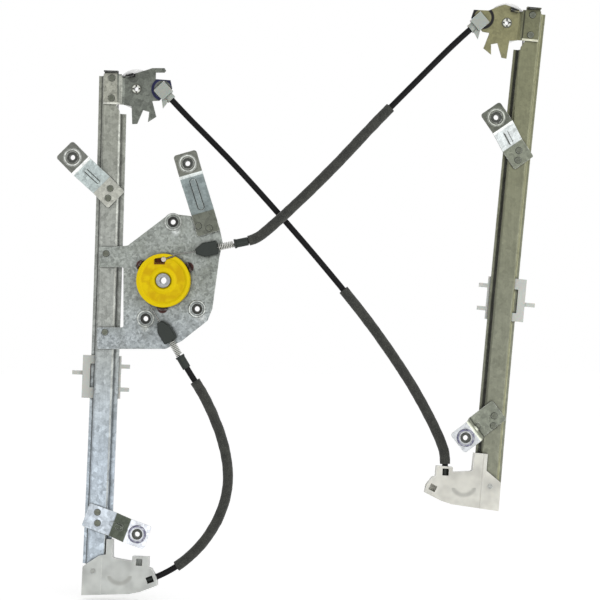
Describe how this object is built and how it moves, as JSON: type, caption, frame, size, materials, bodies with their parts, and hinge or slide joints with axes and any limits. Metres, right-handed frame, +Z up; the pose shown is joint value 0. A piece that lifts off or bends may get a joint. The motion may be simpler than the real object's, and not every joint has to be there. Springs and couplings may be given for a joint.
{
  "type": "window regulator",
  "caption": "Two-rail cable window regulator without motor: curved rails with sliding carriages, a cable drum on a plate, pulleys, conduits and mounting strips.",
  "frame": {"origin": "on the cable drum's axis, at the front face of the drum plate", "axes": "+X to the right and +Z up as seen in the picture, +Y from the viewer into the door, towards the glass"},
  "size_m": [0.484, 0.0489, 0.5884],
  "materials": {
    "black_plastic": "moulded, matte",
    "bracket_olive_zinc": "zinc plated, olive passivated",
    "bracket_zinc": "zinc plated",
    "cable_steel": "stranded wire",
    "conduit_black": "smooth extruded",
    "foam_black": "foam, dull",
    "milky_plastic": "moulded, milky",
    "nipple_zinc": "die cast",
    "nut_zinc": "bluish zinc",
    "plate_zinc": "zinc plated with spangle",
    "rail_olive_zinc": "zinc plated, olive passivated",
    "rail_zinc": "zinc plated, satin",
    "rivet_steel": "plated rivet",
    "spring_steel": "bright wire",
    "strip_zinc": "zinc plated",
    "turned_steel": "turned and plated",
    "white_nylon": "moulded, natural white",
    "yellow_nylon": "moulded, matte"
  },
  "bodies": {
    "frame": {"conduit_cross": "conduit_black", "conduit_ferrules": "black_plastic", "conduit_lower": "conduit_black", "conduit_upper": "conduit_black", "drum_cable_lower": "cable_steel", "drum_cable_upper": "cable_steel", "drum_plate": "plate_zinc", "drum_spindle": "turned_steel", "left_conduit_clip": "white_nylon", "left_lower_end": "milky_plastic", "left_lower_mount": "strip_zinc", "left_pulley_axle": "turned_steel", "left_pulley_bracket": "bracket_zinc", "left_rail": "rail_zinc", "left_rail_cable": "cable_steel", "left_rail_rivets": "rivet_steel", "left_upper_mount": "strip_zinc", "lower_cable_guide": "black_plastic", "lower_end_pins": "turned_steel", "lower_spring_cap": "black_plastic", "lower_tension_spring": "spring_steel", "motor_nuts": "nut_zinc", "mount_nuts": "nut_zinc", "plate_mount": "strip_zinc", "plate_rivets": "rivet_steel", "right_conduit_clip": "white_nylon", "right_lower_end": "milky_plastic", "right_lower_mount": "strip_zinc", "right_pulley_axle": "turned_steel", "right_pulley_bracket": "bracket_olive_zinc", "right_rail": "rail_olive_zinc", "right_rail_cable": "cable_steel", "right_rail_rivets": "rivet_steel", "right_upper_mount": "strip_zinc", "sleeve_cross": "foam_black", "sleeve_lower": "foam_black", "sleeve_upper": "foam_black", "upper_cable_guide": "black_plastic", "upper_spring_cap": "black_plastic", "upper_tension_spring": "spring_steel"},
    "drum": {"cable_drum": "yellow_nylon", "drum_cable_ends": "nipple_zinc", "drum_cable_turns": "cable_steel"},
    "left_roller": {"left_pulley": "white_nylon"},
    "right_roller": {"right_pulley": "white_nylon"},
    "left_slider": {"left_carriage": "white_nylon", "left_carriage_nipples": "nipple_zinc"},
    "right_slider": {"right_carriage": "white_nylon", "right_carriage_nipples": "nipple_zinc"}
  },
  "joints": [
    {"name": "left_carriage_travel", "type": "hinge", "parent": "frame", "child": "left_slider", "pos_m": [-0.0584, -2.49788, -0.017], "axis": [0.9995, 0, -0.0326], "range_deg": [-2.93, 5.32]},
    {"name": "right_carriage_travel", "type": "hinge", "parent": "frame", "child": "right_slider", "pos_m": [0.3401, -2.49788, -0.017], "axis": [0.9958, 0, -0.092], "range_deg": [-2.93, 5.32]},
    {"name": "drum_spin", "type": "hinge", "parent": "frame", "child": "drum", "pos_m": [0, -0.008, 0], "axis": [0, 1, 0], "range_deg": [-543.05, 299.84]},
    {"name": "left_pulley_spin", "type": "hinge", "parent": "frame", "child": "left_roller", "pos_m": [-0.02719, -0.00193, 0.19124], "axis": [0.0027, 0.9965, 0.0835], "range_deg": [-396.92, 719.01]},
    {"name": "right_pulley_spin", "type": "hinge", "parent": "frame", "child": "right_roller", "pos_m": [0.34083, -0.00799, 0.25606], "axis": [0.01, 0.9941, 0.1081], "range_deg": [-719.01, 396.92]}
  ],
  "couplings": [
    {"joint": "right_carriage_travel", "follows": "left_carriage_travel", "ratio": 1},
    {"joint": "drum_spin", "follows": "left_carriage_travel", "ratio": -102.04},
    {"joint": "left_pulley_spin", "follows": "left_carriage_travel", "ratio": 135.14},
    {"joint": "right_pulley_spin", "follows": "left_carriage_travel", "ratio": -135.14}
  ]
}
